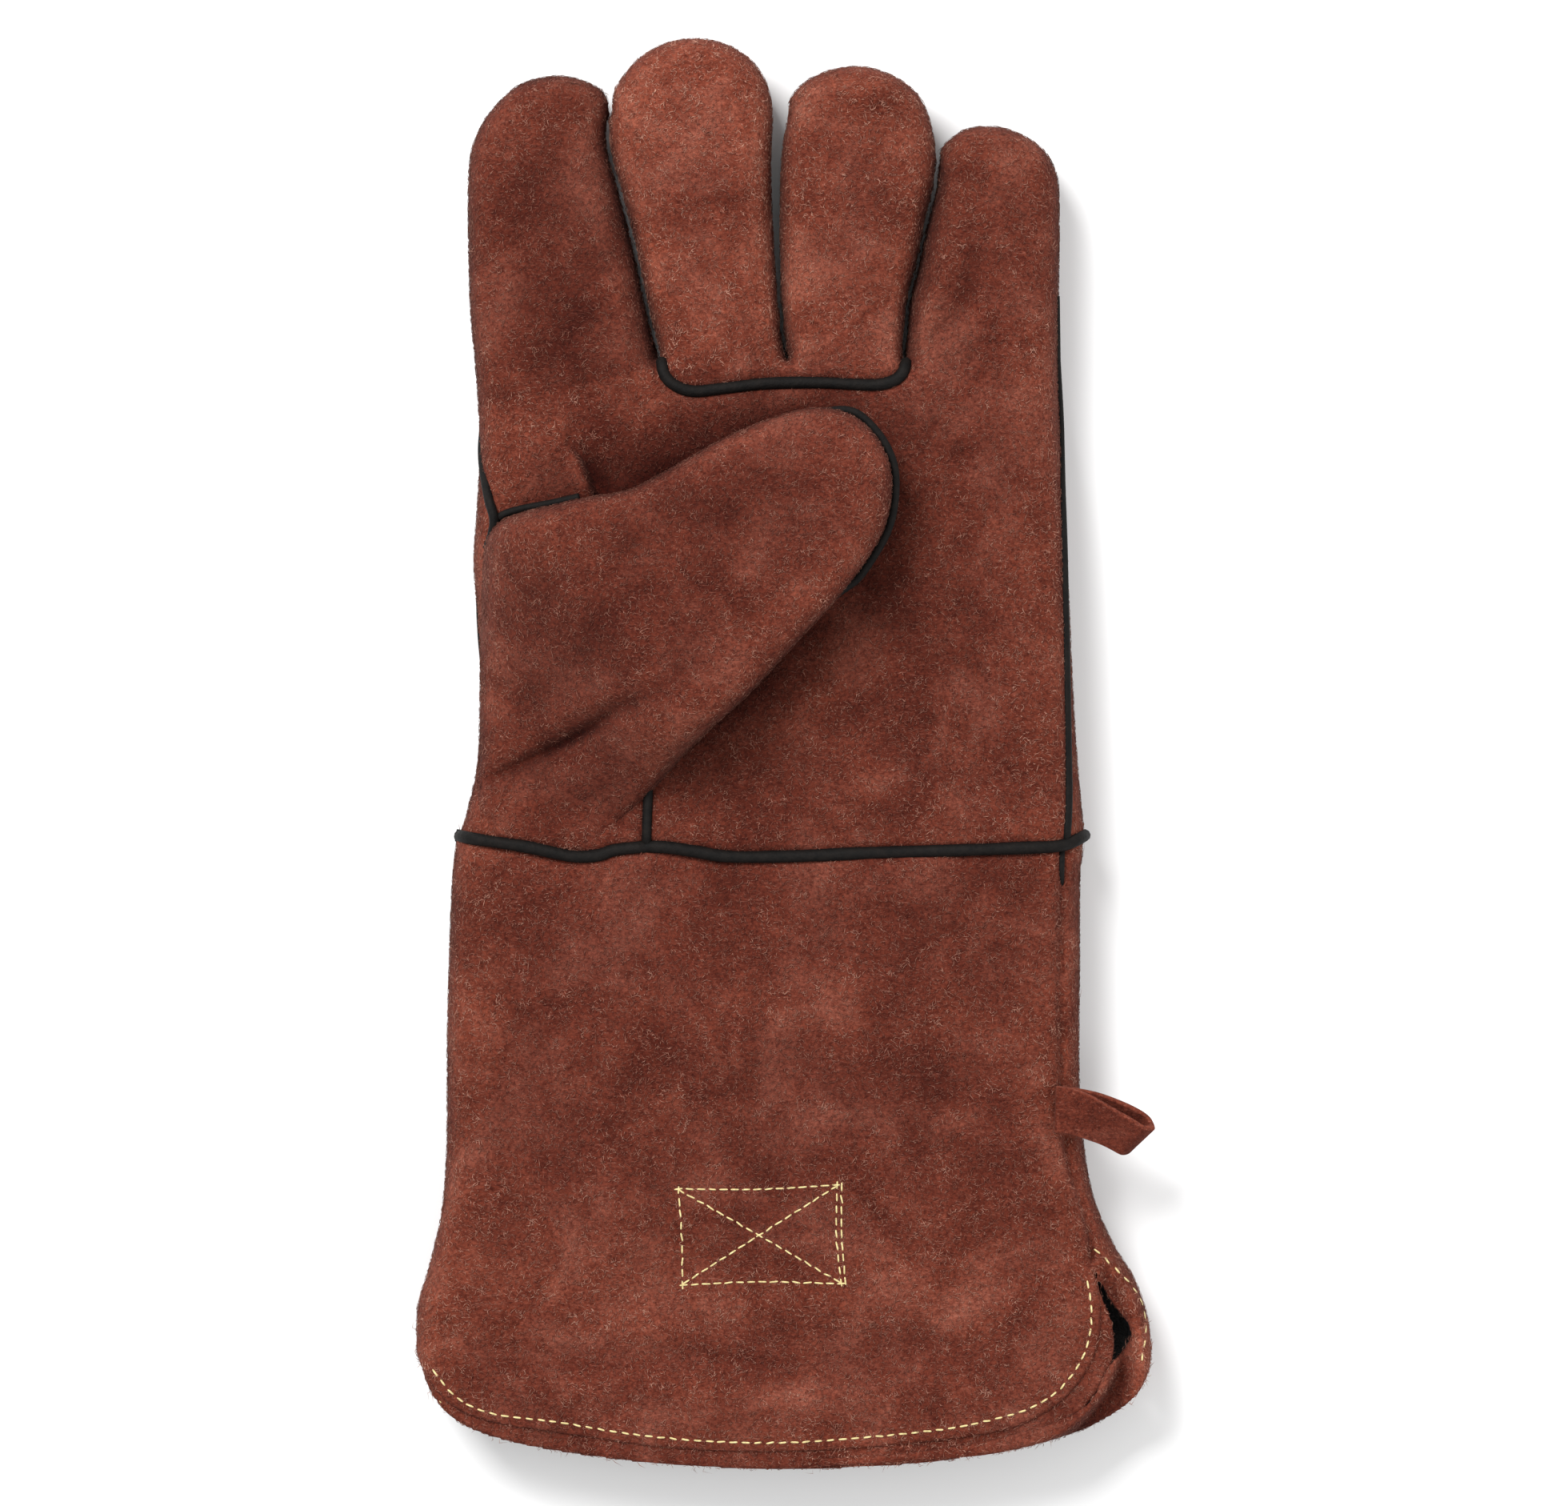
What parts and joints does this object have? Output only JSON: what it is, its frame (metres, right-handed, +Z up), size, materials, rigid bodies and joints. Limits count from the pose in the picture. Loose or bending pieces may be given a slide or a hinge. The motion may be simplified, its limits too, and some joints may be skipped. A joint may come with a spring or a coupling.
{
  "type": "heat resistant glove",
  "caption": "Left-hand suede leather glove with a long gauntlet cuff, lying palm up, with black welts in its seams, pale hem sewing and a hanging loop.",
  "frame": {"origin": "bottom centre of the whole glove as it lies on its back", "axes": "+Y from the cuff towards the fingertips, +X towards the little finger, +Z up out of the palm"},
  "size_m": [0.1804, 0.3504, 0.0486],
  "materials": {
    "suede": "napped suede, reddish brown",
    "welt": "smooth black",
    "lining": "dark fleece",
    "thread": "pale yellow sewing thread"
  },
  "bodies": {
    "hand": {"palm_panel": "suede", "back_panel": "suede", "middle_fingers_insert_panel": "suede", "finger_base_welt": "welt", "thumb_root_panel": "suede", "thumb_root_welt": "welt", "thumb_side_welt": "welt", "little_finger_side_welt": "welt", "hand_lining": "lining"},
    "index_finger": {"index_finger_palm_panel": "suede", "index_finger_back_panel": "suede", "index_finger_welt": "welt", "index_finger_lining": "lining"},
    "middle_finger": {"middle_finger_palm_panel": "suede", "middle_finger_back_panel": "suede", "middle_finger_welt": "welt", "middle_finger_lining": "lining"},
    "ring_finger": {"ring_finger_palm_panel": "suede", "ring_finger_back_panel": "suede", "ring_finger_welt": "welt", "ring_finger_lining": "lining"},
    "little_finger": {"little_finger_palm_panel": "suede", "little_finger_back_panel": "suede", "little_finger_welt": "welt", "little_finger_lining": "lining"},
    "thumb": {"thumb_outer_panel": "suede", "thumb_inner_panel": "suede", "thumb_welt": "welt", "thumb_lining": "lining"},
    "cuff": {"gauntlet_panel": "suede", "gauntlet_lining": "lining", "hem_band": "suede", "wrist_welt": "welt", "gauntlet_side_welt": "welt", "hem_stitching": "thread", "hem_second_stitching": "thread", "box_stitching": "thread", "box_patch": "lining"},
    "loop": {"hanging_loop": "suede"}
  },
  "joints": [
    {"name": "index_curl", "type": "hinge", "parent": "hand", "child": "index_finger", "pos_m": [-0.05485, 0.09815, 0.028], "axis": [0.9679, 0.2199, 0.1219], "range_deg": [0, 75]},
    {"name": "middle_curl", "type": "hinge", "parent": "hand", "child": "middle_finger", "pos_m": [-0.0169, 0.103, 0.028], "axis": [1, 0, 0], "range_deg": [0, 75]},
    {"name": "ring_curl", "type": "hinge", "parent": "hand", "child": "ring_finger", "pos_m": [0.01465, 0.103, 0.028], "axis": [1, 0, 0], "range_deg": [0, 75]},
    {"name": "little_curl", "type": "hinge", "parent": "hand", "child": "little_finger", "pos_m": [0.04885, 0.09915, 0.028], "axis": [0.9743, -0.2078, -0.0872], "range_deg": [0, 75]},
    {"name": "thumb_lift", "type": "hinge", "parent": "hand", "child": "thumb", "pos_m": [-0.0316, 0.03545, 0.0492], "axis": [0.5866, -0.8099, 0], "range_deg": [0, 70]},
    {"name": "wrist_fold", "type": "hinge", "parent": "hand", "child": "cuff", "pos_m": [0, -0.0222, 0.0275], "axis": [-1, 0, 0], "range_deg": [0, 45]},
    {"name": "loop_swing", "type": "hinge", "parent": "cuff", "child": "loop", "pos_m": [0.069, -0.0875, 0.0265], "axis": [0, 1, 0], "range_deg": [-60, 25]}
  ]
}
